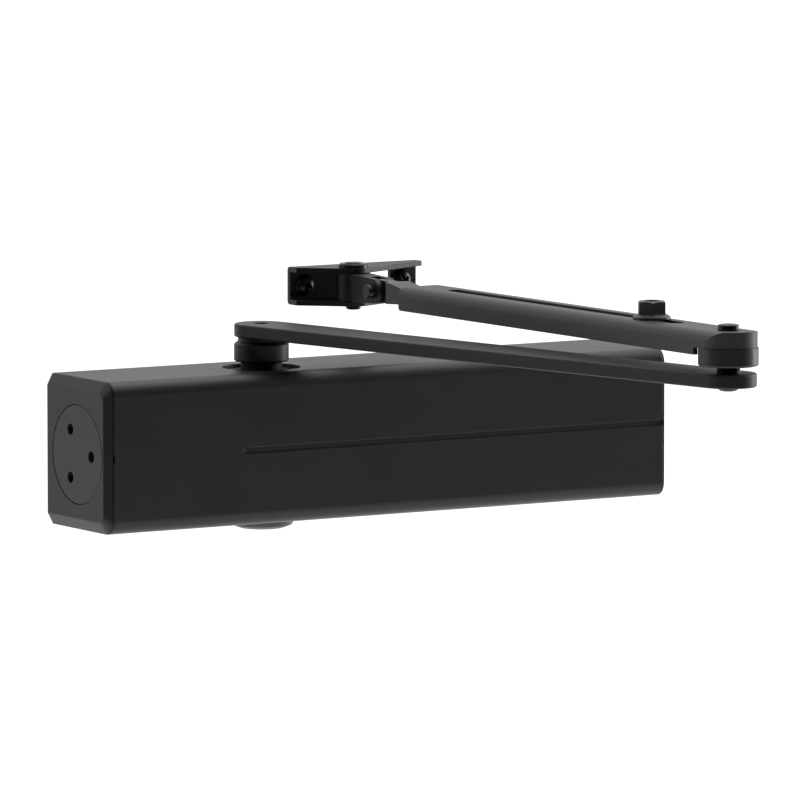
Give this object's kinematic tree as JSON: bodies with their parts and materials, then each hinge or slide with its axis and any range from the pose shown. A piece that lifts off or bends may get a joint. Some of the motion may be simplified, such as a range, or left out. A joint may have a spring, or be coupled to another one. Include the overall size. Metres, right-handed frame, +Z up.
{
  "type": "door closer",
  "caption": "Overhead door closer with a rack-and-pinion spring body, a full cover, and a scissor arm whose telescoping forearm ends in a swivelling frame shoe.",
  "frame": {"origin": "centre of the body's back face, which rests on the door", "axes": "+X along the body, from the spindle's end to the spring's end; +Y into the door; +Z up, along the spindle towards the arm"},
  "size_m": [0.262, 0.2982, 0.1045],
  "materials": {
    "black_casing": "satin black powder coat over die-cast aluminium",
    "black_plastic": "satin black moulded plastic",
    "black_arm": "satin black paint over steel",
    "black_fastener": "black-finished steel, slightly glossier than the arms",
    "steel": "machined and lightly oiled",
    "brass": "turned",
    "spring_steel": "oiled spring steel",
    "rubber": "nitrile rubber"
  },
  "bodies": {
    "closer": {"closer_body": "black_casing", "front_cover": "black_casing", "bottom_spindle_cap": "black_plastic", "left_end_plug": "black_casing", "right_end_plug": "black_casing", "left_plug_seal": "rubber", "right_plug_seal": "rubber", "upper_bearing": "steel", "upper_bearing_nut": "black_fastener", "upper_spindle_seal": "rubber", "lower_bearing": "steel", "lower_bearing_nut": "steel", "lower_spindle_seal": "rubber", "closing_spring": "spring_steel"},
    "piston": {"piston": "steel", "piston_seal": "rubber", "piston_check_valve": "steel"},
    "seat": {"spring_seat": "steel"},
    "adjuster": {"spring_adjuster": "steel"},
    "closing_valve": {"closing_speed_valve": "brass"},
    "latching_valve": {"latching_speed_valve": "brass"},
    "back_check": {"back_check_valve": "brass"},
    "arm": {"spindle": "black_fastener", "arm_hub": "black_arm", "arm_screw": "black_fastener", "main_arm": "black_arm", "elbow_pin": "black_fastener"},
    "forearm": {"forearm_channel": "black_arm", "elbow_knuckle": "black_arm"},
    "slider": {"adjusting_bar": "black_arm", "adjusting_stud": "black_fastener", "flange_nut": "black_fastener"},
    "swivel": {"swivel_block": "black_arm", "tilt_pin": "black_fastener"},
    "shoe": {"shoe_bracket": "black_arm", "shoe_pin": "black_fastener", "shoe_screws": "black_fastener"}
  },
  "joints": [
    {"name": "spindle_turn", "type": "hinge", "parent": "closer", "child": "arm", "pos_m": [-0.047, -0.024, 0], "axis": [0, 0, 1], "range_deg": [0, 150], "stiffness_Nm_per_rad": 6, "springref_deg": -85.94},
    {"name": "piston_slide", "type": "slide", "parent": "closer", "child": "piston", "axis": [1, 0, 0], "range_m": [0, 0.023], "deforming": ["closing_spring"]},
    {"name": "elbow_turn", "type": "hinge", "parent": "arm", "child": "forearm", "pos_m": [0.00459, -0.27985, 0.0535], "axis": [0, 0, 1], "range_deg": [-155, 5]},
    {"name": "forearm_slide", "type": "slide", "parent": "forearm", "child": "slider", "axis": [-0.0187, 0.9998, 0], "range_m": [-0.003, 0.137]},
    {"name": "shoe_tilt", "type": "hinge", "parent": "slider", "child": "swivel", "pos_m": [0.00008, -0.03839, 0.0592], "axis": [0.9998, 0.0187, 0], "range_deg": [-6, 6]},
    {"name": "shoe_swivel", "type": "hinge", "parent": "swivel", "child": "shoe", "pos_m": [-0.00031, -0.0174, 0.0593], "axis": [0, 0, 1], "range_deg": [-85, 85]},
    {"name": "seat_slide", "type": "slide", "parent": "closer", "child": "seat", "axis": [-1, 0, 0], "range_m": [0, 0.0075], "deforming": ["closing_spring"]},
    {"name": "adjuster_turn", "type": "hinge", "parent": "closer", "child": "adjuster", "pos_m": [0.128, -0.024, 0], "axis": [-1, 0, 0], "range_deg": [0, 1802]},
    {"name": "closing_speed_turn", "type": "hinge", "parent": "closer", "child": "closing_valve", "pos_m": [-0.104, -0.0465, 0.0228], "axis": [0, 1, 0], "range_deg": [-180, 180]},
    {"name": "latching_speed_turn", "type": "hinge", "parent": "closer", "child": "latching_valve", "pos_m": [-0.092, -0.0465, 0.0228], "axis": [0, 1, 0], "range_deg": [-180, 180]},
    {"name": "back_check_turn", "type": "hinge", "parent": "closer", "child": "back_check", "pos_m": [-0.08, -0.0465, 0.0228], "axis": [0, 1, 0], "range_deg": [-180, 180]}
  ],
  "couplings": [
    {"joint": "piston_slide", "follows": "spindle_turn", "m_per_rad": 0.00875},
    {"joint": "adjuster_turn", "follows": "seat_slide", "rad_per_m": 4188.8}
  ]
}
